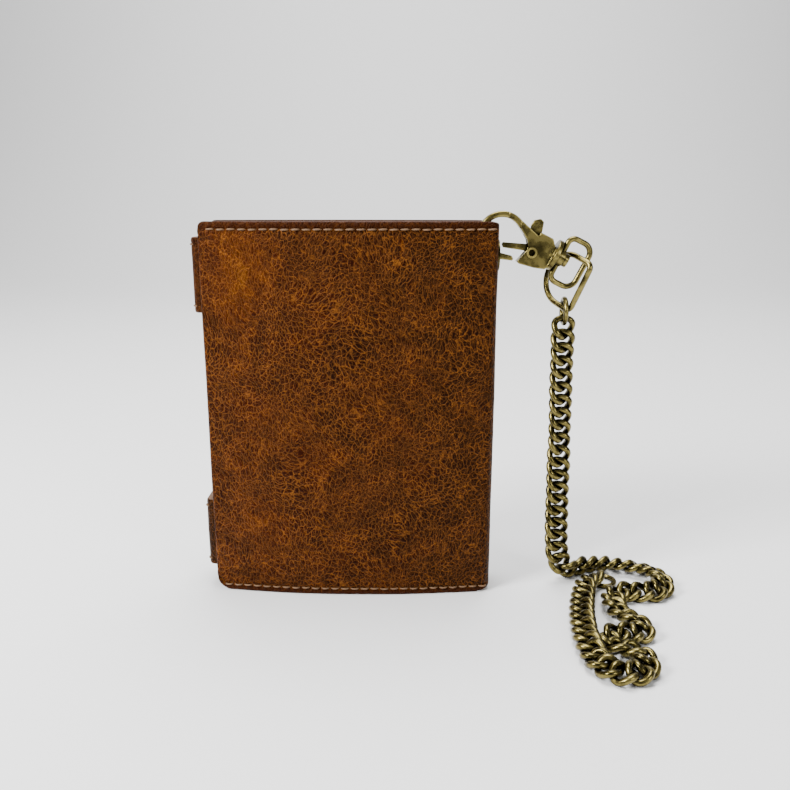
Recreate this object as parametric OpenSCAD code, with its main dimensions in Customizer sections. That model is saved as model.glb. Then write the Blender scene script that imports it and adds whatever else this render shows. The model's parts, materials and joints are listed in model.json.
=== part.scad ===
// Chain wallet: two leather covers on a spine, inner pockets, zip, strap snaps, spring clip and curb chain.
// Millimetres, +Z up, standing on its bottom edge. The spine is at +X, the rear cover faces -Y.

/* [Wallet] */
// width of the closed wallet, without the straps
wallet_w = 95; // [80:1:110]
// height of the wallet
wallet_h = 126; // [100:1:160]
// half of the thickness at the middle of the covers
half_t = 12; // [9:0.5:16]
// half of the thickness at the spine and at the free edge
edge_t = 8.5; // [6:0.5:12]
// thickness of the outer leather
leather_t = 1.6; // [1:0.1:2.5]
// thickness of the lining
lining_t = 0.5; // [0.3:0.1:1]
// size of the cut at the free edge's corners
corner_r = 3; // [1:0.5:8]
// distance from one stitch to the next
stitch_pitch = 3.4; // [2:0.1:5]

/* [Straps] */
// height of each strap
strap_h = 24; // [16:1:34]
// height of the lower edge of the lower strap
strap_low_z = 8.5; // [4:0.5:30]
// height of the lower edge of the upper strap
strap_up_z = 97; // [70:0.5:100]
// length of the part of a strap that folds over the front
flap_l = 26.6; // [20:0.2:40]
// distance of the snap from the fold
snap_u = 17; // [12:0.5:24]

/* [Clip] */
// inner radius of the clip's claw
claw_in = 6; // [4:0.25:9]
// radial thickness of the claw
claw_t = 2; // [1.2:0.1:3]
// depth of the claw from front to back
claw_d = 3; // [2:0.1:4]
// diameter of the wire of the swivel eye and of the dee ring
wire_d = 1.9; // [1.2:0.1:2.6]
// hole in the spine's eyelet
eyelet_d = 6; // [4:0.5:8]

/* [Chain] */
// diameter of the tube that stands in for the curb chain
chain_d = 6.5; // [4:0.5:9]
// outer radius of the plain ring at the chain's free end
end_ring_r = 4.8; // [4:0.2:9]

/* [Output] */
// sub-part to show, or all

/* [Hidden] */
$fn = 64;
tan_col = [0.45, 0.27, 0.14];
lining_col = [0.24, 0.15, 0.1];
brass_col = [0.62, 0.5, 0.28];
thread_col = [0.75, 0.63, 0.45];
clear_col = [0.8, 0.85, 0.88];

// the whole model is shifted so that the wallet's box is centred on the origin
shift_x = 1.31;
shift_y = -1.19;

half_w = wallet_w / 2;
dome_h = half_t - edge_t;
dome_r = (half_w * half_w + dome_h * dome_h) / (2 * dome_h);
spine_in = half_w - leather_t;
panel_l = -44;
panel_r = 43;

// snap and strap fold
fold_x = -50.5;
fold_y = 8.75;
flap_a = 6.3;

// clip
claw_x = 48.9;
claw_z = 121.1;
rivet_x = 58.4;
rivet_z = 116;
swivel_a = 26.5;
swivel_x = 66.1;
swivel_z = 115.2;
eyelet_z = 115.1;

// zip
zip_z = 113;
zip_x0 = -38;
zip_x1 = 36;
pull_x = 30;
pull_y = 0.8;

module placed() {
  translate([shift_x, shift_y, 0]) children();
}

// flat shape with rounded corners
module round_rect(x0, x1, z0, z1, r) {
  translate([x0 + r, z0]) square([x1 - x0 - 2 * r, z1 - z0]);
  translate([x0, z0 + r]) square([x1 - x0, z1 - z0 - 2 * r]);
  translate([x0 + r, z0 + r]) circle(r);
  translate([x1 - r, z0 + r]) circle(r);
  translate([x0 + r, z1 - r]) circle(r);
  translate([x1 - r, z1 - r]) circle(r);
}

// upright shape drawn in X and Z, from y0 to y1
module upright(y0, y1) {
  translate([0, y1, 0]) rotate([90, 0, 0]) linear_extrude(y1 - y0) children();
}

module sheet(x0, x1, z0, z1, y0, y1, r) {
  upright(y0, y1) round_rect(x0, x1, z0, z1, r);
}

module box(x0, x1, y0, y1, z0, z1) {
  translate([x0, y0, z0]) cube([x1 - x0, y1 - y0, z1 - z0]);
}

// band of the rear dome between two depths below its outer surface
module dome_band(d0, d1, x0, x1) {
  translate([0, dome_r - half_t]) intersection() {
    difference() {
      circle(dome_r - d0, $fn = 720);
      circle(dome_r - d1, $fn = 720);
    }
    translate([x0, -dome_r - 1]) square([x1 - x0, 20]);
  }
}

module cover() {
  intersection() {
    linear_extrude(wallet_h) dome_band(0, leather_t, -half_w, spine_in);
    upright(-half_t - 2, 0) polygon([
      [-half_w, 1.4 * corner_r], [1.4 * corner_r - half_w, 0], [half_w, 0],
      [half_w, wallet_h], [corner_r - half_w, wallet_h], [-half_w, wallet_h - corner_r]
    ]);
  }
}

module cover_lining() {
  translate([0, 0, 1.2]) linear_extrude(wallet_h - 3) dome_band(leather_t, leather_t + lining_t, panel_l, 44.5);
}

// one row of stitches lying on the rear dome at height z
module stitch_row(z) {
  for (i = [-12:12]) {
    a = i * stitch_pitch / dome_r * 180 / PI;
    translate([0, dome_r - half_t, z]) rotate([0, 0, a])
      translate([-1.2, -dome_r - 0.42, -0.35]) cube([2.4, 0.4, 0.7]);
  }
}

module stitching() {
  stitch_row(2.2);
  stitch_row(wallet_h - 2.4);
}

module spine_leather() {
  placed() color(tan_col) difference() {
    box(spine_in, half_w, -edge_t, edge_t, 0, wallet_h);
    translate([spine_in - 1, 0, eyelet_z]) rotate([0, 90, 0]) cylinder(h = 4, r = 3.6);
  }
}

module spine_lining() {
  placed() color(lining_col) difference() {
    box(spine_in - lining_t, spine_in, -6.8, 6.8, 1, wallet_h - 2);
    translate([spine_in - 2, 0, eyelet_z]) rotate([0, 90, 0]) cylinder(h = 4, r = 3.7);
  }
}

module spine_eyelet() {
  placed() color(brass_col) translate([spine_in - lining_t - 0.6, 0, eyelet_z]) rotate([0, 90, 0])
    difference() {
      union() {
        cylinder(h = 0.6, r = 5);
        cylinder(h = leather_t + lining_t + 1.2, r = 3.6);
        translate([0, 0, leather_t + lining_t + 0.6]) cylinder(h = 0.6, r = 5);
      }
      translate([0, 0, -1]) cylinder(h = 6, r = eyelet_d / 2);
    }
}

module id_leaf_anchor() {
  placed() color(lining_col) box(42.3, spine_in - lining_t, -1.2, -0.4, 8, 98);
}

// chain route: down from the small ring, then over the floor, in millimetres
chain_route = [
  [70.1, 0, 92.1], [70.2, 0, 84], [70.3, 0, 74], [70.6, 0, 62], [70.8, 0, 50], [71, 0, 38], [71.2, 0, 27],
  [71.5, -0.2, 17], [72.4, -0.4, 9.5], [75.5, 0.8, 4.8], [80.5, 3.2, 3.5], [89, 6, 3.4], [97.4, 6.3, 3.4],
  [104.2, 3.4, 3.4], [108, -1.8, 3.4], [107.4, -8.6, 3.4], [102.6, -13, 3.4], [96.4, -13.2, 3.4],
  [91.4, -13.6, 3.4], [88, -18, 3.4], [87.8, -25.6, 3.4], [90.6, -31, 3.4], [93, -35.8, 3.4],
  [90, -39.8, 3.4], [84.6, -40, 3.4], [80.4, -43, 3.4], [82.4, -47.2, 3.4], [87, -49.2, 3.4],
  [88.6, -54.2, 3.4], [86, -59.4, 3.4], [80.8, -61, 3.4], [76, -57.6, 3.4], [74, -51, 3.4],
  [73.8, -42.6, 3.4], [74.6, -33.4, 3.4], [76.2, -24.2, 3.4], [78.6, -15, 3.4], [81.4, -7.4, 3.4], [85, -3.2, 3.4]
];
ring_sides = 10;
seg_parts = 2;

// smooth curve through the route's points
function at(i) = chain_route[max(0, min(len(chain_route) - 1, i))];
function curve(i, t) = 0.5 * (2 * at(i) + (at(i + 1) - at(i - 1)) * t
  + (2 * at(i - 1) - 5 * at(i) + 4 * at(i + 1) - at(i + 2)) * t * t
  + (3 * at(i) - at(i - 1) - 3 * at(i + 1) + at(i + 2)) * t * t * t);
chain_line = concat(
  [for (i = [0:len(chain_route) - 2]) for (k = [0:seg_parts - 1]) curve(i, k / seg_parts)],
  [at(len(chain_route) - 1)]
);
function unit(v) = v / norm(v);
function tangent(i) = unit(chain_line[min(len(chain_line) - 1, i + 1)] - chain_line[max(0, i - 1)]);
// side direction carried along the line, so that the tube doesn't twist
function carried(s, t) = unit(s - t * (s * t));
function sides(i) = i == 0 ? [carried([0, 1, 0], tangent(0))]
  : let (prev = sides(i - 1)) concat(prev, [carried(prev[i - 1], tangent(i))]);
chain_sides = sides(len(chain_line) - 1);
function ring_points(i) = let (t = tangent(i), s = chain_sides[i], u = cross(t, s))
  [for (k = [0:ring_sides - 1]) let (a = 360 * k / ring_sides)
    chain_line[i] + chain_d / 2 * (cos(a) * s + sin(a) * u)];

module curb_chain() {
  n = len(chain_line);
  m = ring_sides;
  points = [for (i = [0:n - 1]) each ring_points(i)];
  walls = [for (i = [0:n - 2]) for (k = [0:m - 1]) let (j = (k + 1) % m) each [
    [i * m + k, i * m + j, (i + 1) * m + j],
    [i * m + k, (i + 1) * m + j, (i + 1) * m + k]
  ]];
  first = [for (k = [m - 1:-1:0]) k];
  last = [for (k = [0:m - 1]) (n - 1) * m + k];
  placed() color(brass_col) polyhedron(points, concat(walls, [first, last]));
}

module torus(r_mid, r_wire) {
  rotate_extrude() translate([r_mid, 0]) circle(r_wire);
}

module chain_top_ring() {
  placed() color(brass_col) translate([70.1, 0, 97]) rotate([0, 90, 0]) torus(4, 0.8);
}

module chain_end_ring() {
  placed() color(brass_col) translate([88.4, -1.6, 0.9]) torus(end_ring_r - 0.8, 0.8);
}

module rear_cover_leather() {
  placed() color(tan_col) cover();
}

module rear_lining() {
  placed() color(lining_col) cover_lining();
}

module bill_divider() {
  placed() color(lining_col) sheet(panel_l, panel_r, 2, 104, -6.2, -5.2, 3);
}

module rear_card_slot_1() {
  placed() color(tan_col) sheet(panel_l, panel_r, 2, 100, -5.2, -4.4, 3);
}

module rear_card_slot_2() {
  placed() color(tan_col) sheet(panel_l, panel_r, 2, 88, -4.4, -3.6, 3);
}

module rear_card_slot_3() {
  placed() color(tan_col) sheet(panel_l, panel_r, 2, 76, -3.6, -2.8, 3);
}

module rear_card_slot_4() {
  placed() color(tan_col) sheet(panel_l, panel_r, 2, 64, -2.8, -2, 3);
}

module rear_stitching() {
  placed() color(thread_col) stitching();
}

// strap part that is sewn under the cover's edge and stands beside the closed wallet
module strap_base(z0) {
  placed() color(tan_col) translate([0, 0, z0]) linear_extrude(strap_h) union() {
    difference() {
      translate([-48.5, -7.4]) square([4, 2.6]);
      translate([0, dome_r - half_t]) difference() {
        circle(dome_r + 9, $fn = 720);
        circle(dome_r - leather_t, $fn = 720);
      }
    }
    translate([fold_x, -6.85]) square([2, 15.45]);
  }
}

module upper_strap_base() {
  strap_base(strap_up_z);
}

module lower_strap_base() {
  strap_base(strap_low_z);
}

// everything on a flap is drawn with X along the flap and Y outward, from the fold
module on_flap(z0) {
  placed() translate([fold_x, fold_y, z0]) rotate([0, 0, flap_a]) children();
}

module strap_flap(z0) {
  on_flap(z0) color(tan_col) difference() {
    upright(0, 2) union() {
      square([flap_l - 4, strap_h]);
      translate([0, 4]) square([flap_l, strap_h - 8]);
      translate([flap_l - 4, 4]) circle(4);
      translate([flap_l - 4, strap_h - 4]) circle(4);
    }
    translate([snap_u, -1, strap_h / 2]) rotate([-90, 0, 0]) cylinder(h = 4, r = 2.3);
    translate([snap_u, -1, strap_h / 2]) rotate([-90, 0, 0]) cylinder(h = 2, r = 4.85);
  }
}

module snap_cap(z0) {
  on_flap(z0) color(brass_col) translate([snap_u, 2, strap_h / 2]) rotate([-90, 0, 0])
    rotate_extrude() polygon([[0, 0.02], [6.25, 0.02], [6.25, 0.7], [5.4, 1.5], [3.6, 2.05], [0, 2.2]]);
}

module snap_socket(z0) {
  on_flap(z0) color(brass_col) translate([snap_u, 0, strap_h / 2]) rotate([-90, 0, 0]) difference() {
    union() {
      translate([0, 0, 0.45]) cylinder(h = 0.5, r = 4.6);
      translate([0, 0, 0.45]) cylinder(h = 1.5, r = 2.25);
    }
    translate([0, 0, 0.3]) cylinder(h = 1.4, r = 2);
  }
}

module upper_strap_flap() {
  strap_flap(strap_up_z);
}

module upper_snap_cap() {
  snap_cap(strap_up_z);
}

module upper_snap_socket() {
  snap_socket(strap_up_z);
}

module lower_strap_flap() {
  strap_flap(strap_low_z);
}

module lower_snap_cap() {
  snap_cap(strap_low_z);
}

module lower_snap_socket() {
  snap_socket(strap_low_z);
}

// stud with its post and back plate, through the front cover and its lining
module snap_stud(z0) {
  on_flap(z0) color(brass_col) translate([snap_u, 0, strap_h / 2]) rotate([-90, 0, 0]) union() {
    translate([0, 0, -0.34]) cylinder(h = 0.6, r = 4.4);
    translate([0, 0, -0.1]) cylinder(h = 1.3, r = 1.7);
    translate([0, 0, -2.8]) cylinder(h = 2.8, r = 1.2);
    translate([0, 0, -3.1]) cylinder(h = 0.5, r = 3.4);
  }
}

module upper_snap_stud() {
  snap_stud(strap_up_z);
}

module lower_snap_stud() {
  snap_stud(strap_low_z);
}

module stud_holes() {
  for (z0 = [strap_up_z, strap_low_z])
    translate([fold_x, fold_y, z0]) rotate([0, 0, flap_a])
      translate([snap_u, 0, strap_h / 2]) rotate([-90, 0, 0]) translate([0, 0, -6]) cylinder(h = 8, r = 1.3);
}

module front_cover_leather() {
  placed() color(tan_col) difference() {
    mirror([0, 1, 0]) cover();
    stud_holes();
  }
}

module front_lining() {
  placed() color(lining_col) difference() {
    mirror([0, 1, 0]) cover_lining();
    stud_holes();
  }
}

module front_stitching() {
  placed() color(thread_col) mirror([0, 1, 0]) stitching();
}

module coin_pocket_panel() {
  placed() color(tan_col) difference() {
    sheet(panel_l, 42, 2, 121, 2.8, 3.8, 3);
    box(-40.5, 38.5, 2, 5, zip_z - 2.5, zip_z + 2.5);
  }
}

module coin_pocket_bag() {
  placed() color(lining_col) difference() {
    box(-42, 40, 4.2, 6.3, 6, 119);
    box(-41.6, 39.6, 4.6, 5.9, 6.4, 118.6);
    box(-43, 41, 4, 5.9, 106.5, 120);
  }
}

module front_card_slot_1() {
  placed() color(tan_col) sheet(panel_l, panel_r, 2, 98, 2, 2.8, 3);
}

module front_card_slot_2() {
  placed() color(tan_col) sheet(panel_l, panel_r, 2, 84, 1.2, 2, 3);
}

module front_card_slot_3() {
  placed() color(tan_col) sheet(panel_l, panel_r, 2, 70, 0.4, 1.2, 3);
}

module zip_tape_upper() {
  placed() color(lining_col) box(-42, 40, 3.8, 4.2, zip_z + 2, zip_z + 6);
}

module zip_tape_lower() {
  placed() color(lining_col) box(-42, 40, 3.8, 4.2, zip_z - 6, zip_z - 2);
}

module zip_teeth_upper() {
  placed() color(brass_col) {
    box(zip_x0, zip_x1, 3.6, 4.4, zip_z + 1.2, zip_z + 2);
    for (i = [0:36]) box(zip_x0 + 2 * i, zip_x0 + 2 * i + 1.1, 3.2, 4.4, zip_z + 0.5, zip_z + 2);
  }
}

module zip_teeth_lower() {
  placed() color(brass_col) {
    box(zip_x0, zip_x1, 3.6, 4.4, zip_z - 2, zip_z - 1.2);
    for (i = [0:36]) box(zip_x0 + 2 * i + 0.9, zip_x0 + 2 * i + 2, 3.2, 4.4, zip_z - 2, zip_z - 0.5);
  }
}

module zip_stops() {
  placed() color(brass_col) {
    box(zip_x0 - 1.8, zip_x0 - 0.1, 3.2, 4.4, zip_z - 1.8, zip_z + 1.8);
    box(zip_x1 + 0.1, zip_x1 + 1.8, 3.2, 4.4, zip_z - 1.8, zip_z + 1.8);
  }
}

module zip_slider() {
  placed() color(brass_col) {
    difference() {
      sheet(pull_x - 4, pull_x + 4, zip_z - 3.2, zip_z + 3.2, 1.9, 2.6, 1.2);
      box(pull_x - 5, pull_x - 3.4, 1, 3, zip_z - 0.5, zip_z + 0.5);
    }
    sheet(pull_x - 4, pull_x + 4, zip_z - 2.6, zip_z + 2.6, 4.7, 5.3, 1.2);
    box(pull_x - 1.5, pull_x + 3, 2.5, 4.8, zip_z - 0.25, zip_z + 0.25);
    for (z = [-1.9, 1.2]) {
      box(pull_x - 0.6, pull_x + 0.6, pull_y, 1.95, zip_z + z, zip_z + z + 0.7);
      translate([pull_x, pull_y, zip_z + z]) cylinder(h = 0.7, r = 0.9);
    }
    translate([pull_x, pull_y, zip_z - 1.9]) cylinder(h = 3.8, r = 0.35);
  }
}

module zip_pull() {
  placed() color(brass_col) translate([pull_x, pull_y, zip_z]) difference() {
    union() {
      translate([0, 0, -0.9]) cylinder(h = 1.8, r = 0.85);
      box(-2, -0.3, -0.3, 0.3, -0.9, 0.9);
      upright(-0.35, 0.35) round_rect(-7.5, -1.4, -1.7, 1.7, 0.8);
    }
    translate([0, 0, -2]) cylinder(h = 4, r = 0.5);
    translate([-5.6, 2, 0]) rotate([90, 0, 0]) cylinder(h = 4, r = 0.9);
  }
}

module id_leaf() {
  placed() color(tan_col) difference() {
    sheet(-42, 41.5, 6, 100, -1.5, -0.1, 2);
    sheet(-34, 33, 20, 76, -3, 1, 2);
  }
}

module id_window() {
  placed() color(clear_col) sheet(-33.98, 32.98, 20.02, 75.98, -1.1, -0.5, 2);
}

module claw_ring() {
  translate([claw_x, 0, claw_z]) rotate([90, 0, 0]) rotate([0, 0, 38]) rotate_extrude(angle = 197)
    translate([claw_in, -claw_d / 2]) round_rect(0, claw_t, 0, claw_d, 0.7);
  upright(-claw_d / 2, claw_d / 2) polygon([[45.4, 116.2], [48.3, 116], [52.2, 115], [52.7, 114.1], [52.4, 113.4],
    [48.3, 113.9], [44.3, 114.6]]);
}

module hook_body() {
  placed() color(brass_col) union() {
    claw_ring();
    difference() {
      union() {
        upright(-1.9, 1.9) difference() {
          polygon([[51.2, 128.7], [53.4, 127.5], [56, 125.3], [60.6, 121.2], [61, 118], [57.2, 117.9],
            [56.8, 120.1], [55.5, 122.4], [53.6, 124.7], [51.2, 126.5]]);
          translate([claw_x, claw_z]) circle(claw_in);
        }
        upright(-2.3, 2.3) polygon([[55, 126.1], [60.6, 121.2], [61.2, 122.4], [65.2, 120.4], [66, 117.6],
          [65.2, 112.2], [62.6, 110.7], [59.2, 111.2], [54.4, 112.5], [53.7, 113.2], [56.5, 116.4], [57.2, 118],
          [56.8, 120.1], [54.6, 123.6]]);
      }
      upright(-0.95, 0.95) polygon([[55.9, 113.6], [61, 113.4], [63.6, 117.6], [67.4, 122.6], [63.6, 128],
        [57.4, 128], [57, 122.2], [55.8, 121.6], [55, 119.5], [53.6, 117]]);
      translate([rivet_x, 5, rivet_z]) rotate([90, 0, 0]) cylinder(h = 10, r = 1.35);
    }
    translate([swivel_x, 0, swivel_z]) rotate([0, 90 + swivel_a, 0]) {
      translate([0, 0, -2]) cylinder(h = 2, r = 2.5);
      translate([0, 0, -0.75]) cylinder(h = 1.5, r = 5.1);
    }
  }
}

module gate_rivet() {
  placed() color(brass_col) translate([rivet_x, 0, rivet_z]) rotate([90, 0, 0]) difference() {
    union() {
      translate([0, 0, -2.7]) cylinder(h = 5.4, r = 1.35);
      translate([0, 0, 2.3]) cylinder(h = 0.4, r = 1.75);
      translate([0, 0, -2.7]) cylinder(h = 0.4, r = 1.75);
    }
    translate([0, 0, 0.9]) cylinder(h = 3, r = 1.05);
  }
}

module gate_spring() {
  placed() color(brass_col) translate([61.4, 0, 115.25]) rotate([90, 0, 0]) translate([0, 0, -0.7])
    difference() {
      cylinder(h = 1.4, r = 0.42);
      translate([0, 0, -1]) cylinder(h = 4, r = 0.2);
    }
}

module gate_lever() {
  placed() color(brass_col) difference() {
    upright(-0.7, 0.7) union() {
      translate([rivet_x, rivet_z]) circle(2.05);
      polygon([[58, 115], [58.8, 118.1], [57, 118.7], [49.3, 119.3], [48.9, 118.6], [49.3, 117.6], [56.6, 116.5]]);
      polygon([[56.9, 117.2], [60.2, 116.6], [60.9, 120.2], [61.8, 122.8], [62.2, 125.6], [61.2, 126.6],
        [59.2, 126.2], [58.1, 124.5], [57.9, 121]]);
    }
    translate([rivet_x, 5, rivet_z]) rotate([90, 0, 0]) cylinder(h = 10, r = 1.5);
  }
}

// along the swivel's own axis, from the middle of the flange
module on_swivel() {
  translate([swivel_x, 0, swivel_z]) rotate([0, swivel_a, 0]) children();
}

module swivel_pin() {
  placed() color(brass_col) on_swivel() rotate([0, 90, 0]) {
    translate([0, 0, 0.75]) cylinder(h = 2.9, r = 1.2);
    translate([0, 0, 3.4]) cylinder(h = 1.2, r = 2.2);
  }
}

module wire_seg(x, z, a, l) {
  translate([x, 0, z]) rotate([0, a, 0]) rotate([0, 90, 0]) cylinder(h = l, r = wire_d / 2);
}

module wire_bend(x, z, r, a) {
  translate([x, 0, z]) rotate([90, 0, 0]) rotate([0, 0, a]) rotate_extrude(angle = 90)
    translate([r, 0]) circle(wire_d / 2);
}

module swivel_eye() {
  placed() color(brass_col) on_swivel() difference() {
    union() {
      wire_bend(6.8, 4.1, 3.4, 0);
      wire_bend(6.8, -4.1, 3.4, 270);
      wire_bend(4.2, 5.3, 2.2, 90);
      wire_bend(4.2, -5.3, 2.2, 180);
      wire_seg(4.2, 7.5, 0, 2.6);
      wire_seg(4.2, -7.5, 0, 2.6);
      wire_seg(2, 5.3, 90, 10.6);
      wire_seg(10.2, 4.1, 90, 8.2);
      translate([1.05, 0, 0]) rotate([0, 90, 0]) cylinder(h = 2, r = 2.7);
    }
    rotate([0, 90, 0]) cylinder(h = 5, r = 1.45);
  }
}

// dee ring, drawn flat and then set where it hangs in the eye
dee_l = 16.5;
dee_depth = 15;
dee_mid = [74.3, -3.5, 104.7];
dee_turn = 57.1;
dee_tau = -48.5;
dee_chi = -15.7;

module dee_flat() {
  h = dee_l / 2;
  r = 2;
  translate([-r, -h + r, 0]) rotate([0, 0, -90]) rotate_extrude(angle = 90) translate([r, 0]) circle(wire_d / 2);
  translate([-r, h - r, 0]) rotate_extrude(angle = 90) translate([r, 0]) circle(wire_d / 2);
  translate([0, -h + r, 0]) rotate([-90, 0, 0]) cylinder(h = dee_l - 2 * r, r = wire_d / 2);
  for (s = [-h, h])
    translate([-(dee_depth - h), s, 0]) rotate([0, 90, 0]) cylinder(h = dee_depth - h - r, r = wire_d / 2);
  translate([-(dee_depth - h), 0, 0]) rotate([0, 0, 90]) rotate_extrude(angle = 180)
    translate([h, 0]) circle(wire_d / 2);
}

module dee_ring() {
  placed() color(brass_col) translate(dee_mid) rotate([dee_chi, 0, 0]) rotate([0, 0, dee_tau])
    rotate([0, 90 - dee_turn, 0]) rotate([90, 0, 0]) dee_flat();
}

spine_leather();
spine_lining();
spine_eyelet();
id_leaf_anchor();
curb_chain();
chain_top_ring();
chain_end_ring();
rear_cover_leather();
rear_lining();
bill_divider();
rear_card_slot_1();
rear_card_slot_2();
rear_card_slot_3();
rear_card_slot_4();
rear_stitching();
upper_strap_base();
lower_strap_base();
upper_strap_flap();
upper_snap_cap();
upper_snap_socket();
lower_strap_flap();
lower_snap_cap();
lower_snap_socket();
front_cover_leather();
front_lining();
front_stitching();
coin_pocket_panel();
coin_pocket_bag();
front_card_slot_1();
front_card_slot_2();
front_card_slot_3();
zip_tape_upper();
zip_tape_lower();
zip_teeth_upper();
zip_teeth_lower();
zip_stops();
upper_snap_stud();
lower_snap_stud();
zip_slider();
zip_pull();
id_leaf();
id_window();
hook_body();
gate_rivet();
gate_spring();
swivel_pin();
gate_lever();
swivel_eye();
dee_ring();
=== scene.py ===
import json
import math
import bpy
import bmesh
import numpy as np
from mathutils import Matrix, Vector, noise

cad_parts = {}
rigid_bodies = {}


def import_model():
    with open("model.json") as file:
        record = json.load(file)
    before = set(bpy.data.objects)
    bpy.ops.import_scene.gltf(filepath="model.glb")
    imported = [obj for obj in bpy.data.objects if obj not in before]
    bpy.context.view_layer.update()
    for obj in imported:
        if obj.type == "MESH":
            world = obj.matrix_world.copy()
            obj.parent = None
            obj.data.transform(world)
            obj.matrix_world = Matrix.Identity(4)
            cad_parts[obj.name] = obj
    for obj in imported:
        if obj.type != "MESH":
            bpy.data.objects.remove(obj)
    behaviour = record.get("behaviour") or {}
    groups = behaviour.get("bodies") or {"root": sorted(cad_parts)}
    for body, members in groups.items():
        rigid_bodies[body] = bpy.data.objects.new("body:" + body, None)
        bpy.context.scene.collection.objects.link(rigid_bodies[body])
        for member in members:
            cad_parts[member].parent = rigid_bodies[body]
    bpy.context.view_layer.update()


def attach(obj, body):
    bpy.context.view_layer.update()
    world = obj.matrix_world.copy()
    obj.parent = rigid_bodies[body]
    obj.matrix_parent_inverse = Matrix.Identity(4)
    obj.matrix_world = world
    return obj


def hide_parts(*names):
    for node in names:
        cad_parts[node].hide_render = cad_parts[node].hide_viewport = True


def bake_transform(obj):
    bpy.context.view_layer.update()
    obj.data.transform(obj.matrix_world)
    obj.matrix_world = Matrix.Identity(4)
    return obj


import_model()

MM = 0.001
SX, SY = 1.31, -1.19          # the CAD's own shift, in mm


def P(x, y, z):
    """a point of the wallet, in mm from its middle, as a point of the row frame in metres"""
    return ((x + SX) * MM, (y + SY) * MM, z * MM)


# ---------------------------------------------------------------- camera
cam_data = bpy.data.cameras.new("camera")
cam = bpy.data.objects.new("camera", cam_data)
bpy.context.scene.collection.objects.link(cam)
cam.location = P(19.5, -259, 133)
cam.rotation_euler = (math.radians(90 - 14.03), 0, math.radians(1.1))
cam_data.lens = 35.9
cam_data.sensor_width = 36
cam_data.dof.use_dof = False
cam_data.clip_start = 0.01
bpy.context.scene.camera = cam

# ---------------------------------------------------------------- material helpers


def new_mat(name):
    m = bpy.data.materials.new(name)
    m.use_nodes = True
    nt = m.node_tree
    nt.nodes.clear()
    out = nt.nodes.new("ShaderNodeOutputMaterial")
    b = nt.nodes.new("ShaderNodeBsdfPrincipled")
    nt.links.new(b.outputs[0], out.inputs[0])
    return m, nt, b


class G:
    """small wrapper that makes shader nodes"""

    def __init__(self, nt):
        self.nt = nt

    def node(self, kind, **kw):
        n = self.nt.nodes.new(kind)
        for k, v in kw.items():
            setattr(n, k, v)
        return n

    def put(self, sock, v):
        if hasattr(v, "is_output") or isinstance(v, bpy.types.NodeSocket):
            self.nt.links.new(v, sock)
        elif v is not None:
            sock.default_value = v

    def math(self, op, a, b=None, c=None, clamp=False):
        n = self.node("ShaderNodeMath", operation=op, use_clamp=clamp)
        for i, v in enumerate((a, b, c)):
            if v is not None:
                self.put(n.inputs[i], v)
        return n.outputs[0]

    def noise(self, vec, scale, detail=3.0, rough=0.55, dist=0.0):
        n = self.node("ShaderNodeTexNoise")
        self.put(n.inputs["Vector"], vec)
        n.inputs["Scale"].default_value = scale
        n.inputs["Detail"].default_value = detail
        n.inputs["Roughness"].default_value = rough
        n.inputs["Distortion"].default_value = dist
        return n.outputs[0], n.outputs[1]

    def voronoi(self, vec, scale, feature="F1", rand=1.0):
        n = self.node("ShaderNodeTexVoronoi", feature=feature)
        self.put(n.inputs["Vector"], vec)
        n.inputs["Scale"].default_value = scale
        n.inputs["Randomness"].default_value = rand
        return n.outputs[0]

    def remap(self, v, a, b, c=0.0, d=1.0):
        n = self.node("ShaderNodeMapRange", interpolation_type="SMOOTHSTEP")
        self.put(n.inputs["Value"], v)
        n.inputs["From Min"].default_value = a
        n.inputs["From Max"].default_value = b
        n.inputs["To Min"].default_value = c
        n.inputs["To Max"].default_value = d
        return n.outputs[0]

    def mix(self, f, a, b, mode="MIX"):
        n = self.node("ShaderNodeMix", data_type="RGBA", blend_type=mode)
        self.put(n.inputs["Factor"], f)
        for s, v in ((n.inputs[6], a), (n.inputs[7], b)):
            if isinstance(v, bpy.types.NodeSocket):
                self.nt.links.new(v, s)
            else:
                s.default_value = (*v, 1) if len(v) == 3 else v
        return n.outputs[2]

    def vmath(self, op, a, b):
        n = self.node("ShaderNodeVectorMath", operation=op)
        self.put(n.inputs[0], a)
        self.put(n.inputs[1], b)
        return n.outputs[0]

    def scale(self, a, f):
        n = self.node("ShaderNodeVectorMath", operation="SCALE")
        self.put(n.inputs[0], a)
        self.put(n.inputs["Scale"], f)
        return n.outputs[0]

    def bump(self, h, dist, strength=1.0, normal=None):
        n = self.node("ShaderNodeBump")
        self.put(n.inputs["Height"], h)
        n.inputs["Distance"].default_value = dist
        n.inputs["Strength"].default_value = strength
        if normal is not None:
            self.put(n.inputs["Normal"], normal)
        return n.outputs[0]


# rubbed patches of the leather and one painted sheen (the first, at the upper corner by the free edge): out
# from the spine, up, half width, half height (100 mm units), amount
WEAR_AND_SHEEN_PATCHES = [(0.86, 1.12, 0.16, 0.26, 0.30), (0.62, 0.90, 0.16, 0.22, 0.16), (0.82, 0.67, 0.16, 0.10, 0.14),
        (0.63, 0.47, 0.14, 0.10, 0.20), (0.80, 0.26, 0.16, 0.14, 0.18), (0.28, 0.43, 0.10, 0.08, 0.18),
        (0.38, 0.60, 0.14, 0.08, 0.14), (0.54, 0.14, 0.14, 0.09, 0.14), (0.34, 1.19, 0.008, 0.045, 0.5)]


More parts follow.
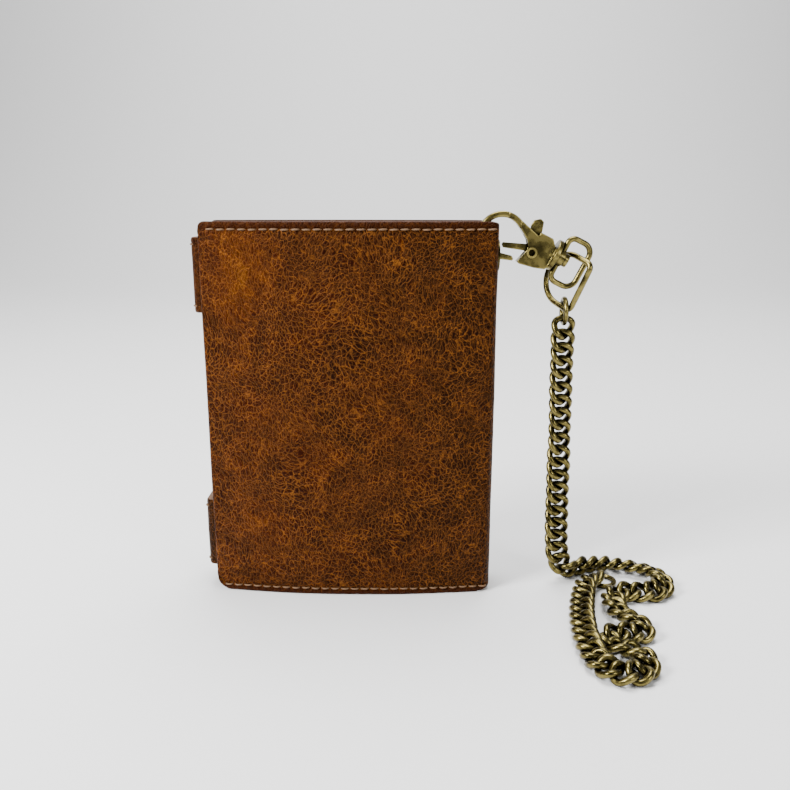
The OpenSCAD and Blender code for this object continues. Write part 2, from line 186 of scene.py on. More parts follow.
def leather(name, shade):
    """worn pull-up leather; in the UV map, 1 unit is 100 mm, out from the spine and up"""
    m, nt, b = new_mat(name)
    g = G(nt)
    uv = g.node("ShaderNodeTexCoord").outputs["UV"]
    sep = g.node("ShaderNodeSeparateXYZ")
    g.put(sep.inputs[0], uv)
    u, v = sep.outputs[0], sep.outputs[1]
    p = g.scale(uv, 100.0)    # in mm
    # slow and quick wandering of the grain
    _, wob = g.noise(p, 0.036, 2)
    q = g.vmath("ADD", p, g.scale(g.vmath("SUBTRACT", wob, (0.5, 0.5, 0.5)), 17.0))
    _, wob2 = g.noise(p, 0.45, 3)
    q = g.vmath("ADD", q, g.scale(g.vmath("SUBTRACT", wob2, (0.5, 0.5, 0.5)), 1.5))
    # grain cells, longer up and down, coarse and fine
    q2 = g.vmath("MULTIPLY", q, (1.22, 0.80, 1.0))
    edge = g.voronoi(q2, 0.56, "DISTANCE_TO_EDGE")
    cellc = g.node("ShaderNodeTexVoronoi", feature="F1")
    g.put(cellc.inputs["Vector"], q2)
    cellc.inputs["Scale"].default_value = 0.56
    cellcol = cellc.outputs["Color"]
    edge2 = g.voronoi(q2, 1.05, "DISTANCE_TO_EDGE")
    net = g.remap(edge, 0.015, 0.10, 1.0, 0.0)
    net2 = g.remap(edge2, 0.015, 0.12, 1.0, 0.0)
    # patches of wear
    big, _ = g.noise(p, 0.042, 4, 0.55, 0.5)
    mid, _ = g.noise(p, 0.13, 5, 0.62, 1.0)
    fine, _ = g.noise(p, 1.6, 4, 0.7)
    # creases running diagonally
    rot = g.node("ShaderNodeVectorRotate", rotation_type="Z_AXIS")
    g.put(rot.inputs["Vector"], q)
    rot.inputs["Angle"].default_value = math.radians(-28)
    st = g.vmath("MULTIPLY", rot.outputs[0], (0.11, 0.42, 1.0))
    streak, _ = g.noise(st, 1.0, 5, 0.6, 1.0)
    crease = g.math("ABSOLUTE", g.math("SUBTRACT", streak, 0.5))
    crease = g.remap(crease, 0.0, 0.035, 1.0, 0.0)
    crease = g.math("MULTIPLY", crease, g.remap(big, 0.38, 0.62))
    # lighter out towards the free edge, with a few rubbed patches and a painted sheen at the upper corner by
    # the free edge
    t = g.math("MULTIPLY_ADD", g.math("MODULO", u, 2.0), 0.28, 0.17)
    for cu, cv, ru, rv, amp in WEAR_AND_SHEEN_PATCHES:
        d = g.vmath("MULTIPLY", g.vmath("SUBTRACT", uv, (cu, cv, 0.0)), (1 / ru, 1 / rv, 0.0))
        ln = g.node("ShaderNodeVectorMath", operation="LENGTH")
        g.put(ln.inputs[0], d)
        t = g.math("ADD", t, g.remap(ln.outputs["Value"], 0.1, 1.0, amp, 0.0))
    t = g.math("ADD", t, g.math("MULTIPLY", g.math("SUBTRACT", big, 0.5), 0.75))
    t = g.math("ADD", t, g.math("MULTIPLY", g.math("SUBTRACT", mid, 0.5), 0.75))
    t = g.math("ADD", t, g.math("MULTIPLY", g.math("SUBTRACT", streak, 0.5), 0.40), clamp=True)
    ramp = g.node("ShaderNodeValToRGB")
    g.put(ramp.inputs[0], t)
    el = ramp.color_ramp.elements
    el[0].position, el[0].color = 0.15, (0.008 * shade, 0.0003 * shade, 0.0001 * shade, 1)
    el[1].position, el[1].color = 0.95, (0.150 * shade, 0.044 * shade, 0.0022 * shade, 1)
    e = el.new(0.38)
    e.color = (0.020 * shade, 0.0013 * shade, 0.0001 * shade, 1)
    e = el.new(0.56)
    e.color = (0.042 * shade, 0.0048 * shade, 0.0002 * shade, 1)
    e = el.new(0.74)
    e.color = (0.082 * shade, 0.016 * shade, 0.0006 * shade, 1)
    col = ramp.outputs[0]
    lighter = g.mix(0.55, col, (0.50 * shade, 0.17 * shade, 0.030 * shade), "MIX")
    netw = g.math("MAXIMUM", net, g.math("MULTIPLY", net2, 0.55))
    netw = g.math("MAXIMUM", netw, g.math("MULTIPLY", crease, 0.8))
    netw = g.math("MULTIPLY", netw, g.remap(fine, 0.30, 0.65, 0.25, 1.0))
    netw = g.math("MULTIPLY", netw, g.remap(mid, 0.35, 0.65, 0.60, 1.0))
    dark = g.mix(1.0, col, (0.60, 0.42, 0.30), "MULTIPLY")
    pits = g.remap(fine, 0.46, 0.30, 0.0, 0.6)
    col = g.mix(pits, col, dark)
    sepc = g.node("ShaderNodeSeparateColor")
    g.put(sepc.inputs[0], cellcol)
    col = g.mix(g.math("MULTIPLY", sepc.outputs[0], 0.45), col, dark)
    col = g.mix(netw, col, lighter)
    # a darker rim outside the stitch rows
    rim = g.math("MAXIMUM", g.remap(v, 0.020, 0.016), g.remap(v, 1.235, 1.239))
    col = g.mix(g.math("MULTIPLY", rim, 0.75), col, (0.020, 0.0035, 0.0008))
    g.put(b.inputs["Base Color"], col)
    rough = g.math("ADD", g.math("MULTIPLY", netw, 0.05), g.remap(mid, 0.3, 0.7, 0.50, 0.36))
    g.put(b.inputs["Roughness"], rough)
    b.inputs["Specular IOR Level"].default_value = 0.09
    b.inputs["Specular Tint"].default_value = (1.0, 0.60, 0.32, 1)
    cell_h = g.math("MULTIPLY", g.remap(edge, 0.0, 0.26, 0.0, 1.0), 0.8)
    hgt = g.math("ADD", cell_h, g.math("MULTIPLY", fine, 0.35))
    hgt = g.math("ADD", hgt, g.math("MULTIPLY", g.remap(edge2, 0.0, 0.2), 0.22))
    hgt = g.math("SUBTRACT", hgt, g.math("MULTIPLY", crease, 0.7))
    n1 = g.bump(g.math("ADD", streak, mid), 0.0011, 0.4)
    n2 = g.bump(hgt, 0.00022, 0.95, n1)
    g.put(b.inputs["Normal"], n2)
    return m


def brass(name, bright, scale, patina):
    """antique brass: dark patina in the hollows, rubbed yellow on what stands out"""
    m, nt, b = new_mat(name)
    g = G(nt)
    co = g.node("ShaderNodeTexCoord").outputs["Object"]
    n1, _ = g.noise(co, 260 * scale, 4, 0.6)
    n2, _ = g.noise(co, 2600 * scale, 3, 0.6)
    ao = g.node("ShaderNodeAmbientOcclusion", samples=8)
    ao.inputs["Distance"].default_value = 0.0016
    worn = g.remap(ao.outputs["AO"], 0.45, 1.0)
    worn = g.math("MULTIPLY", worn, g.remap(n1, 0.30, 0.62, 1.0 - patina, 1.0))
    worn = g.math("MULTIPLY", worn, g.remap(n2, 0.25, 0.55, 0.8, 1.0), clamp=True)
    col = g.mix(worn, (0.014, 0.011, 0.004), (0.46 * bright, 0.37 * bright, 0.115 * bright))
    g.put(b.inputs["Base Color"], col)
    b.inputs["Metallic"].default_value = 1.0
    g.put(b.inputs["Roughness"], g.remap(n1, 0.3, 0.7, 0.20, 0.34))
    g.put(b.inputs["Normal"], g.bump(n2, 0.00003, 0.5))
    return m


def cloth(name, rgb, scale=1.0):
    m, nt, b = new_mat(name)
    g = G(nt)
    co = g.node("ShaderNodeTexCoord").outputs["Object"]
    w1 = g.node("ShaderNodeTexWave", wave_type="BANDS", bands_direction="X")
    w2 = g.node("ShaderNodeTexWave", wave_type="BANDS", bands_direction="Z")
    for w in (w1, w2):
        g.put(w.inputs["Vector"], co)
        w.inputs["Scale"].default_value = 320 * scale
        w.inputs["Distortion"].default_value = 0.6
    n, _ = g.noise(co, 900, 3)
    h = g.math("ADD", g.math("MULTIPLY", w1.outputs[1], w2.outputs[1]), g.math("MULTIPLY", n, 0.5))
    c2 = tuple(x * 0.55 for x in rgb)
    g.put(b.inputs["Base Color"], g.mix(g.remap(h, 0.1, 0.8), c2, rgb))
    b.inputs["Roughness"].default_value = 0.85
    g.put(b.inputs["Normal"], g.bump(h, 0.0001, 0.5))
    return m


def smooth_leather(name, rgb):
    """flat inner leather, coordinates from the object itself"""
    m, nt, b = new_mat(name)
    g = G(nt)
    co = g.node("ShaderNodeTexCoord").outputs["Object"]
    n1, _ = g.noise(co, 60, 5, 0.6, 0.5)
    n2, _ = g.noise(co, 1500, 3, 0.6)
    vo = g.voronoi(co, 1100, "DISTANCE_TO_EDGE")
    c2 = tuple(x * 0.5 for x in rgb)
    col = g.mix(g.remap(n1, 0.3, 0.7), c2, rgb)
    g.put(b.inputs["Base Color"], col)
    g.put(b.inputs["Roughness"], g.remap(n1, 0.3, 0.7, 0.5, 0.62))
    g.put(b.inputs["Normal"], g.bump(g.math("ADD", g.remap(vo, 0, 0.3), n2), 0.00008, 0.6))
    return m


M_OUT = leather("leather_outer", 0.62)
M_STRAP = leather("leather_strap", 0.34)
M_IN = smooth_leather("leather_inner", (0.085, 0.026, 0.007))
M_EDGE = smooth_leather("leather_edge", (0.17, 0.085, 0.040))
M_LINE = cloth("lining_cloth", (0.045, 0.028, 0.018))
M_TAPE = cloth("zip_tape_cloth", (0.03, 0.02, 0.015), 1.6)
M_BRASS = brass("antique_brass", 0.50, 1.0, 0.75)
M_RIVET = brass("antique_brass_rivet", 1.1, 1.5, 0.2)
M_CHAIN = brass("antique_brass_chain", 0.42, 1.3, 0.85)
M_ZIP = brass("zip_brass", 1.1, 2.0, 0.3)
M_STEEL, _nt, _b = new_mat("spring_steel")
_g = G(_nt)
_n, _ = _g.noise(_g.node("ShaderNodeTexCoord").outputs["Object"], 3000, 2)
_g.put(_b.inputs["Roughness"], _g.remap(_n, 0.3, 0.7, 0.25, 0.4))
_b.inputs["Base Color"].default_value = (0.5, 0.5, 0.5, 1)
_b.inputs["Metallic"].default_value = 1
M_THREAD, _nt, _b = new_mat("waxed_thread")
_g = G(_nt)
_n, _ = _g.noise(_g.node("ShaderNodeTexCoord").outputs["Object"], 2600, 3)
_g.put(_b.inputs["Base Color"], _g.mix(_n, (0.07, 0.030, 0.010), (0.20, 0.105, 0.042)))
_b.inputs["Roughness"].default_value = 0.6
_g.put(_b.inputs["Normal"], _g.bump(_n, 0.00008, 0.6))
M_CLEAR, _nt, _b = new_mat("clear_film")
_g = G(_nt)
_n, _ = _g.noise(_g.node("ShaderNodeTexCoord").outputs["Object"], 200, 2)
_g.put(_b.inputs["Roughness"], _g.remap(_n, 0.3, 0.7, 0.05, 0.16))
_b.inputs["Base Color"].default_value = (0.9, 0.92, 0.93, 1)
_b.inputs["Transmission Weight"].default_value = 0.85

# ---------------------------------------------------------------- mesh helpers


def mesh_obj(name, verts, faces, mats, uvs):
    me = bpy.data.meshes.new(name)
    me.from_pydata(verts, [], faces)
    me.update()
    ob = bpy.data.objects.new(name, me)
    bpy.context.scene.collection.objects.link(ob)
    for m in mats:
        me.materials.append(m)
    layer = me.uv_layers.new(name="UVMap")
    idx = np.empty(len(me.loops), np.int32)
    me.loops.foreach_get("vertex_index", idx)
    layer.data.foreach_set("uv", np.asarray(uvs, np.float32)[idx].ravel())
    me.polygons.foreach_set("use_smooth", [True] * len(me.polygons))
    return ob


def recalc(ob):
    bm = bmesh.new()
    bm.from_mesh(ob.data)
    bmesh.ops.recalc_face_normals(bm, faces=bm.faces)
    bm.to_mesh(ob.data)
    bm.free()


def tube(verts, faces, uvs, line, r, n, closed=False):
    """append a round tube along a list of points (mm) to the lists; r is one radius or one for each point"""
    line = np.asarray(line, float)
    k = len(line)
    if closed:
        tan = np.roll(line, -1, 0) - np.roll(line, 1, 0)
    else:
        tan = np.gradient(line, axis=0)
    tan /= np.linalg.norm(tan, axis=1)[:, None]
    s = np.array([0.0, 1.0, 0.0])
    if abs(tan[0] @ s) > 0.9:
        s = np.array([1.0, 0.0, 0.0])
    base = len(verts)
    rr = np.full(k, r) if np.isscalar(r) else np.asarray(r)
    for i in range(k):
        s = s - tan[i] * (s @ tan[i])
        s /= np.linalg.norm(s)
        w = np.cross(tan[i], s)
        for j in range(n):
            a = 2 * math.pi * j / n
            verts.append(tuple(line[i] + rr[i] * (math.cos(a) * s + math.sin(a) * w)))
            uvs.append((i * 0.01, j * 0.01))
    for i in range(k if closed else k - 1):
        a0, b0 = base + i * n, base + ((i + 1) % k) * n
        for j in range(n):
            j2 = (j + 1) % n
            faces.append((a0 + j, a0 + j2, b0 + j2, b0 + j))
    if not closed:
        faces.append(tuple(base + j for j in range(n - 1, -1, -1)))
        faces.append(tuple(base + (k - 1) * n + j for j in range(n)))


def two_skins(name, outer, inner, uv, nu, nv, outside):
    """closed sheet from two grids of nu by nv points: outside leather, inner leather and cut edge"""
    n0 = nu * nv
    faces = []
    for i in range(nu - 1):
        for j in range(nv - 1):
            a = i * nv + j
            faces.append((a, a + nv, a + nv + 1, a + 1))
            faces.append((n0 + a, n0 + a + 1, n0 + a + nv + 1, n0 + a + nv))
    n_skin = len(faces)
    low = [i * nv for i in range(nu)]
    far = [(nu - 1) * nv + j for j in range(1, nv)]
    high = [i * nv + nv - 1 for i in range(nu - 2, -1, -1)]
    near = [j for j in range(nv - 2, 0, -1)]
    rim = low + far + high + near
    for a, b in zip(rim, rim[1:] + rim[:1]):
        faces.append((a, b, n0 + b, n0 + a))
    ob = mesh_obj(name, outer + inner, faces, [outside, M_IN, M_EDGE], uv + uv)
    recalc(ob)
    slots = [2 if k >= n_skin else int(f[0] >= n0) for k, f in enumerate(faces)]
    ob.data.polygons.foreach_set("material_index", slots)
    ob.data.set_sharp_from_angle(angle=math.radians(55))
    return ob


# ---------------------------------------------------------------- chain
ROUTE = [
    [70.1, 0, 92.1], [70.2, 0, 84], [70.3, 0, 74], [70.6, 0, 62], [70.8, 0, 50], [71, 0, 38], [71.2, 0, 27],
    [71.5, -0.2, 17], [72.4, -0.4, 9.5], [75.5, 0.8, 4.8], [80.5, 3.2, 3.5], [89, 6, 3.4], [97.4, 6.3, 3.4],
    [104.2, 3.4, 3.4], [108, -1.8, 3.4], [107.4, -8.6, 3.4], [102.6, -13, 3.4], [96.4, -13.2, 3.4],
    [91.4, -13.6, 3.4], [88, -18, 3.4], [87.8, -25.6, 3.4], [90.6, -31, 3.4], [93, -35.8, 3.4],
    [90, -39.8, 3.4], [84.6, -40, 3.4], [80.4, -43, 3.4], [82.4, -47.2, 3.4], [87, -49.2, 3.4],
    [88.6, -54.2, 3.4], [86, -59.4, 3.4], [80.8, -61, 3.4], [76, -57.6, 3.4], [74, -51, 3.4],
    [73.8, -42.6, 3.4], [74.6, -33.4, 3.4], [76.2, -24.2, 3.4], [78.6, -15, 3.4],
    [81.4, -7.4, 3.4], [85, -3.2, 3.4],
]


def smooth_route(pts, n):
    a = np.array([pts[0]] + list(pts) + [pts[-1]], float)
    out = []
    for i in range(len(pts) - 1):
        p0, p1, p2, p3 = a[i], a[i + 1], a[i + 2], a[i + 3]
        for k in range(n):
            t = k / n
            out.append(0.5 * (2 * p1 + (p2 - p0) * t + (2 * p0 - 5 * p1 + 4 * p2 - p3) * t * t
                              + (3 * p1 - p0 - 3 * p2 + p3) * t * t * t))
    out.append(a[-2])
    return np.array(out)


fine_route = smooth_route(ROUTE, 24)
cum = np.r_[0, np.cumsum(np.linalg.norm(np.diff(fine_route, axis=0), axis=1))]
CHAIN_LEN = cum[-1]


def on_route(s):
    return np.array([np.interp(s, cum, fine_route[:, k]) for k in range(3)])


PITCH = 4.45            # from one link to the next
LINK_R = 3.2            # middle line of a link, before its twist
LINK_TWIST = 1.05       # how far the link's wire leaves its plane
WIRE_R = 1.08
LINK_START = 0.6
n_links = int((CHAIN_LEN - LINK_START) / PITCH) + 1
rng = np.random.default_rng(7)
# roll of the links about the chain's own line, in degrees, against the distance along it
ROLL_S = [0, 30, 60, 84, 95, 110, 140, 165, 190, 215, 235, 255, 275, 300, 330]
ROLL_A = [62, 70, 58, 66, 60, 25, 20, 12, 18, 10, 22, 12, 24, 26, 20]
verts, faces, uvs = [], [], []
for k in range(n_links):
    s = LINK_START + k * PITCH
    c = on_route(s)
    t = on_route(min(s + 1.6, CHAIN_LEN)) - on_route(max(s - 1.6, 0))
    t /= np.linalg.norm(t)
    # flat reference: across the chain, level with the floor where it lies, facing the front where it hangs
    hang = max(0.0, min(1.0, (abs(t[2]) - 0.35) / 0.4))
    up = np.array([0.0, -1.0, 0.0]) * hang + np.array([0.0, 0.0, 1.0]) * (1 - hang)
    up = up - t * (up @ t)
    up /= np.linalg.norm(up)
    across = np.cross(t, up)
    roll = math.radians(np.interp(s, ROLL_S, ROLL_A) + rng.uniform(-5, 5))
    if abs(t[2]) > 0.7:
        roll = math.radians(np.interp(s, ROLL_S, ROLL_A) - 45 + rng.uniform(-6, 6))
    ax = across * math.cos(roll) + up * math.sin(roll)
    nz = np.cross(ax, t)
    line = []
    for j in range(36):
        th = 2 * math.pi * j / 36
        round_part = LINK_R * math.cos(th) * t + LINK_R * math.sin(th) * ax
        line.append(c + round_part + LINK_TWIST * math.sin(2 * th) * nz)
    line = np.array(line)
    # a lying link rests on the floor, or sinks a little towards it
    low = line[:, 2].min() - WIRE_R
    if abs(t[2]) < 0.5:
        line[:, 2] -= min(1.3, low - 0.05) if low > 0.05 else low - 0.05
    tube(verts, faces, uvs, line, WIRE_R, 10, closed=True)
links = mesh_obj("curb_links", [P(*v) for v in verts], faces, [M_CHAIN], uvs)
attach(links, "spine")
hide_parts("curb_chain")

# ---------------------------------------------------------------- covers
W2, H = 47.5, 126.0
R = 324.07


def profile():
    """closed wallet's rear section, from the free edge to the middle of the spine: points, outward normals"""
    pts, nrm = [], []
    xs = np.r_[np.linspace(-W2, -W2 + 4, 12), np.linspace(-W2 + 4.8, 42.5, 96)]
    for x in xs:
        y = -12 + R - math.sqrt(R * R - x * x)
        pts.append((x, y))
        nrm.append((x / R, -math.sqrt(1 - (x / R) ** 2)))
    # round corner into the spine, radius rc
    rc = 3.2
    cx, cy = W2 - rc, -8.55 + rc
    a0 = math.atan2(nrm[-1][1], nrm[-1][0])
    for a in np.linspace(a0 + 0.12, 0, 14):
        pts.append((cx + rc * math.cos(a), cy + rc * math.sin(a)))
        nrm.append((math.cos(a), math.sin(a)))
    for y in np.linspace(cy + 0.6, 0, 8):
        pts.append((W2, y))
        nrm.append((1.0, 0.0))
    return np.array(pts), np.array(nrm)


def z_rows():
    a = np.array([0, .15, .4, .8, 1.1, 1.4, 1.7, 2.0, 2.3, 2.6, 2.9, 3.2, 3.6, 4.2, 5.0])
    midz = np.linspace(6, H - 6, 115)
    return np.r_[a, midz, (H - a)[::-1]]


STITCH_LOW, STITCH_UP = 2.3, H - 2.4


def corner_cut(x, top):
    """how much the outline is cut at the free edge's corners"""
    r = 2.2 if top else 5.2
    d = x + W2
    if d >= r:
        return 0.0
    return r - math.sqrt(max(0.0, r * r - (r - d) ** 2))


def cover_mesh(name, sign, seed):
    prof, nrm = profile()
    zs = z_rows()
    arc = np.r_[0, np.cumsum(np.linalg.norm(np.diff(prof, axis=0), axis=1))]
    nu, nv = len(prof), len(zs)
    T = 1.55
    outer, inner, uv = [], [], []
    for i in range(nu):
        x, y = prof[i]
        nx, ny = nrm[i]
        lo, hi = corner_cut(x, False), corner_cut(x, True)
        near_spine = max(0.0, (x - 40.0) / 7.5)
        lo += 1.1 * near_spine ** 3
        hi += 0.5 * near_spine ** 3
        for j in range(nv):
            z = lo + (H - hi - lo) * zs[j] / H
            # stitch groove, rolled rim, soft swelling and creases
            d = 0.0
            for zc in (STITCH_LOW, STITCH_UP):
                d -= 0.42 * math.exp(-((zs[j] - zc) / 0.55) ** 2) * (1 - near_spine ** 4)
            e = min(zs[j], H - zs[j])
            if e < 1.0:
                d -= 0.55 * (1 - math.sqrt(max(0.0, 1 - (1 - e) ** 2)))
            ex = (x + W2)
            if ex < 1.0:
                d -= 0.5 * (1 - math.sqrt(max(0.0, 1 - (1 - ex) ** 2)))
            v3 = Vector((arc[i] * 0.035 + seed, z * 0.03, 0.7 * seed))
            d += 0.30 * noise.noise(v3)
            v4 = Vector(((arc[i] * 0.9 + z * 0.55) * 0.11, (z * 0.9 - arc[i] * 0.5) * 0.035, seed))
            ridge = noise.noise(v4)
            d += 0.16 * (0.25 - abs(ridge)) * min(1.0, e / 4.0)
            d = min(d, 0.22)
            outer.append(P(x + nx * d, sign * (y + ny * d), z))
            ti = T if e > 0.5 else T - 0.35
            inner.append(P(x - nx * ti, sign * (y - ny * ti), z))
            uv.append(((arc[-1] - arc[i] - 4) * 0.01 + (seed - 1) * 2.0, z * 0.01))
    return two_skins(name, outer, inner, uv, nu, nv, M_OUT)


rear = cover_mesh("rear_leather", 1, 1.0)
front = cover_mesh("front_leather", -1, 4.0)
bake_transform(rear)
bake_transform(front)
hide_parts("spine_leather", "rear_cover_leather")
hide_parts("front_cover_leather")

# ---------------------------------------------------------------- stitches


def stitches(name, sign, body, node, seed):
    r = np.random.default_rng(seed)
    V, F, U = [], [], []
    for zc in (STITCH_LOW, STITCH_UP):
        x = -44.6
        while x < 44.2:
            x0, x1 = x, x + 2.55
            zj = zc + r.uniform(-0.08, 0.08)
            line = []
            for k in range(9):
                t = k / 8
                xx = x0 + (x1 - x0) * t
                y = -12 + R - math.sqrt(R * R - xx * xx)
                lift = 0.12 * math.sin(math.pi * t) ** 0.5 - 0.55 * (1 - math.sin(math.pi * t) ** 0.6)
                nx, ny = xx / R, -math.sqrt(1 - (xx / R) ** 2)
                line.append((xx + nx * lift, sign * (y + ny * lift), zj + 0.10 * (t - 0.5)))
            tube(V, F, U, line, [0.30 * (0.8 + 0.2 * math.sin(math.pi * k / 8)) for k in range(9)], 8)
            x += 3.4
    ob = mesh_obj(name, [P(*v) for v in V], F, [M_THREAD], U)
    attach(ob, body)
    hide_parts(node)
    return ob


stitches("rear_thread", 1, "rear_cover", "rear_stitching", 3)
stitches("front_thread", -1, "front_cover", "front_stitching", 5)

# ---------------------------------------------------------------- straps


def strap(name, z0, body, nodes):
    """one folded strip: tongue under the cover, side, corner, flap over the front"""
    h = 24.0
    fa = math.radians(6.3)
    c, s = math.cos(fa), math.sin(fa)
    T = 1.9
    # outer line of the strip, from the rear to the front round the free edge
    out = [(-44.6, -6.85), (-46, -6.95), (-48.0, -6.9), (-49.4, -6.55), (-50.2, -5.7), (-50.5, -4.4)]
    out += [(-50.5, y) for y in np.linspace(-3.5, 6.2, 12)]
    out += [(-50.45, 7.4), (-50.3, 8.6), (-49.9, 9.7), (-49.2, 10.45), (-48.2, 10.88)]
    fl = 26.6
    for u in np.linspace(3.6, fl, 26):
        out.append((-50.5 + u * c - 2.0 * s, 8.75 + u * s + 2.0 * c))
    out = np.array(out)
    d = np.gradient(out, axis=0)
    d /= np.linalg.norm(d, axis=1)[:, None]
    nr = np.stack([-d[:, 1], d[:, 0]], 1)      # left of travel is outside
    arc = np.r_[0, np.cumsum(np.linalg.norm(np.diff(out, axis=0), axis=1))]
    rows = np.array([0, .12, .35, .7, 1.1, 1.5, 1.9, 2.3, 2.8, 3.4])
    zz = np.r_[rows, np.linspace(4.5, h - 4.5, 16), h - rows[::-1]]
    nu, nv = len(out), len(zz)
    O, I, U = [], [], []
    tot = arc[-1]
    for i in range(nu):
        for j in range(nv):
            z = zz[j]
            e = min(z, h - z)
            cut = 0.0
            k = tot - arc[i]
            if k < 4.0:
                cut = 4.0 - math.sqrt(max(0.0, 16.0 - (4.0 - k) ** 2))
            zr = z0 + cut + (h - 2 * cut) * z / h
            dd = 0.0
            if e < 0.9:
                dd -= 0.5 * (1 - math.sqrt(max(0.0, 1 - ((0.9 - e) / 0.9) ** 2)))
            if k < 0.9:
                dd -= 0.5 * (1 - math.sqrt(max(0.0, 1 - ((0.9 - k) / 0.9) ** 2)))
            dd -= 0.25 * math.exp(-((e - 2.2) / 0.4) ** 2)
            dd += 0.10 * noise.noise(Vector((arc[i] * 0.12, zr * 0.12, 2.0)))
            nx, ny = nr[i]
            O.append(P(out[i, 0] + nx * dd, out[i, 1] + ny * dd, zr))
            I.append(P(out[i, 0] - nx * T, out[i, 1] - ny * T, zr))
            U.append((arc[i] * 0.01 + 2.1 + z0 * 0.013, zr * 0.01))
    ob = two_skins(name, O, I, U, nu, nv, M_STRAP)
    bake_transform(ob)
    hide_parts(*nodes)
    # stitches along the strap's two long edges, on the side and on the flap
    for part, rng_u, bd in (("side", (5.0, 17.5), "rear_cover"), ("flap", (26.5, tot - 2.5), body)):
        V2, F2, U2 = [], [], []
        for zc in (z0 + 2.2, z0 + h - 2.2):
            a = rng_u[0]
            while a + 2.2 < rng_u[1]:
                line = []
                for k in range(7):
                    t = k / 6
                    aa = a + 2.2 * t
                    x = np.interp(aa, arc, out[:, 0])
                    y = np.interp(aa, arc, out[:, 1])
                    nx = np.interp(aa, arc, nr[:, 0])
                    ny = np.interp(aa, arc, nr[:, 1])
                    lift = 0.10 * math.sin(math.pi * t) ** 0.5 - 0.4 * (1 - math.sin(math.pi * t) ** 0.6)
                    line.append((x + nx * lift, y + ny * lift, zc))
                tube(V2, F2, U2, line, 0.34, 7)
                a += 3.1
        so = mesh_obj(name + "_thread_" + part, [P(*v) for v in V2], F2, [M_THREAD], U2)
        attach(so, bd)
    return ob


strap("upper_strap_leather", 97.0, "upper_strap", ("upper_strap_base", "upper_strap_flap"))
strap("lower_strap_leather", 8.5, "lower_strap", ("lower_strap_base", "lower_strap_flap"))

# ---------------------------------------------------------------- carried-over CAD nodes
MATS = {
    "spine_lining": M_LINE, "rear_lining": M_LINE, "front_lining": M_LINE, "bill_divider": M_LINE,
    "coin_pocket_bag": M_LINE, "id_leaf_anchor": M_IN,
    "rear_card_slot_1": M_IN, "rear_card_slot_2": M_IN, "rear_card_slot_3": M_IN, "rear_card_slot_4": M_IN,
    "front_card_slot_1": M_IN, "front_card_slot_2": M_IN, "front_card_slot_3": M_IN,
    "coin_pocket_panel": M_IN, "id_leaf": M_IN,
    "zip_tape_upper": M_TAPE, "zip_tape_lower": M_TAPE,
    "zip_teeth_upper": M_ZIP, "zip_teeth_lower": M_ZIP, "zip_stops": M_ZIP,
    "zip_slider": M_ZIP, "zip_pull": M_ZIP,
    "spine_eyelet": M_BRASS, "chain_top_ring": M_BRASS, "chain_end_ring": M_BRASS,
    "hook_body": M_BRASS, "gate_rivet": M_RIVET, "gate_lever": M_BRASS, "swivel_eye": M_BRASS,
    "swivel_pin": M_BRASS, "dee_ring": M_BRASS,
    "upper_snap_cap": M_BRASS, "lower_snap_cap": M_BRASS, "upper_snap_socket": M_BRASS,
    "lower_snap_socket": M_BRASS, "upper_snap_stud": M_BRASS, "lower_snap_stud": M_BRASS,
    "gate_spring": M_STEEL, "id_window": M_CLEAR,
}


def soften(ob, voxel, times):
    """cast look: remeshed, then smoothed"""
    r = ob.modifiers.new("cast", "REMESH")
    r.mode = "VOXEL"
    r.voxel_size = voxel
    r.use_smooth_shade = True
    s = ob.modifiers.new("polish", "SMOOTH")
    s.factor = 0.5
    s.iterations = times


def ease(ob, width, segments):
    """small bevel on the sharp edges"""
    bv = ob.modifiers.new("edge", "BEVEL")
    bv.width = width
    bv.segments = segments
    bv.limit_method = "ANGLE"


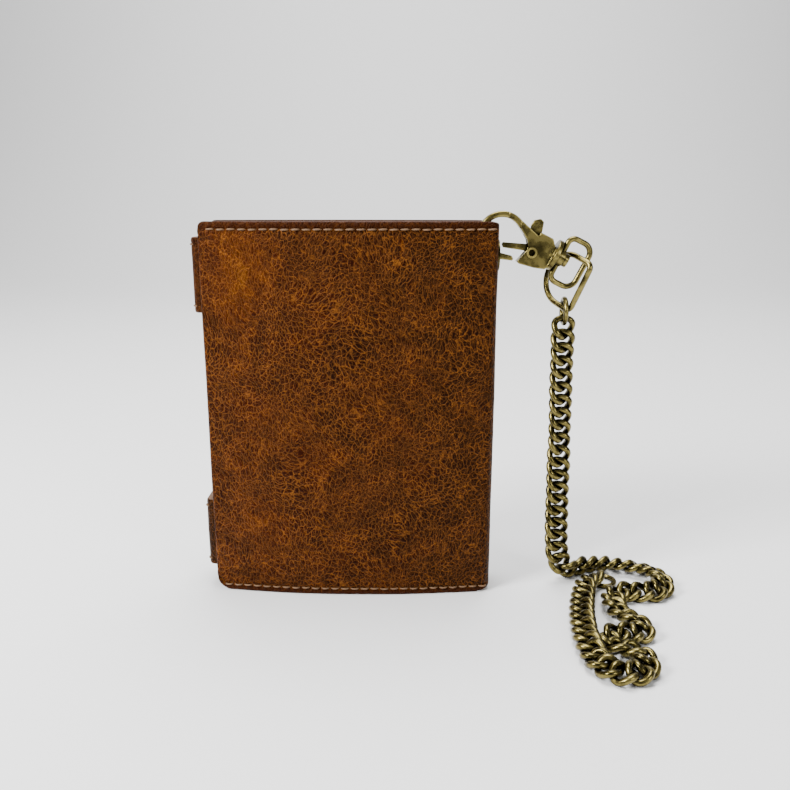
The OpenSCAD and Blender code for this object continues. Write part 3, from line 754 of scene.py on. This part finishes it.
for ob in list(bpy.data.objects):
    base = ob.name.split(".")[0]
    if ob.type != "MESH" or base not in MATS:
        continue
    ob.data.materials.clear()
    ob.data.materials.append(MATS[base])
    for p in ob.data.polygons:
        p.material_index = 0
    if base == "hook_body":
        soften(ob, 0.00016, 7)
    elif base == "gate_lever":
        soften(ob, 0.00014, 4)
    elif base in ("gate_rivet", "swivel_pin", "zip_pull", "zip_slider", "spine_eyelet"):
        ease(ob, 0.00015, 2)
    elif base.startswith(("rear_card", "front_card", "coin_pocket_panel", "id_leaf", "bill")):
        ease(ob, 0.0002, 3)

# ---------------------------------------------------------------- floor and light
# the floor runs up behind into a backdrop
sweep = [(-3.0, 0.0)] + [(0.9 + 0.9 * math.sin(a), 0.9 - 0.9 * math.cos(a))
                         for a in [math.radians(6 * i) for i in range(16)]] + [(1.8, 3.2)]
fv = [(x, y, z) for y, z in sweep for x in (-4.0, 4.0)]
ff = [(2 * i, 2 * i + 1, 2 * i + 3, 2 * i + 2) for i in range(len(sweep) - 1)]
fmesh = bpy.data.meshes.new("floor")
fmesh.from_pydata(fv, [], ff)
for poly in fmesh.polygons:
    poly.use_smooth = True
floor = bpy.data.objects.new("floor", fmesh)
bpy.context.scene.collection.objects.link(floor)
fm, _nt, _b = new_mat("floor_pale")
_b.inputs["Base Color"].default_value = (0.84, 0.84, 0.84, 1)
_b.inputs["Roughness"].default_value = 0.8
_b.inputs["Specular IOR Level"].default_value = 0.2
floor.data.materials.append(fm)

world = bpy.data.worlds.new("studio")
bpy.context.scene.world = world
world.use_nodes = True
bg = world.node_tree.nodes.get("Background") or world.node_tree.nodes.new("ShaderNodeBackground")
bg.inputs[0].default_value = (1, 1, 1, 1)
bg.inputs[1].default_value = 0.26


def area(name, loc, target, size, power):
    ld = bpy.data.lights.new(name, "AREA")
    ld.size = size
    ld.energy = power
    ob = bpy.data.objects.new(name, ld)
    bpy.context.scene.collection.objects.link(ob)
    ob.location = loc
    d = Vector(target) - Vector(loc)
    ob.rotation_euler = d.to_track_quat("-Z", "Y").to_euler()


area("key", (-0.46, -0.30, 0.44), (-0.02, 0.0, 0.08), 0.22, 9.0)
area("fill", (0.42, -0.50, 0.30), (0.05, 0.0, 0.05), 0.20, 1.6)
area("top", (0.02, 0.10, 0.80), (0.03, 0.0, 0.0), 0.45, 10.0)
area("back", (0.0, 0.75, 1.30), (0.0, 1.6, 0.6), 1.0, 26.0)
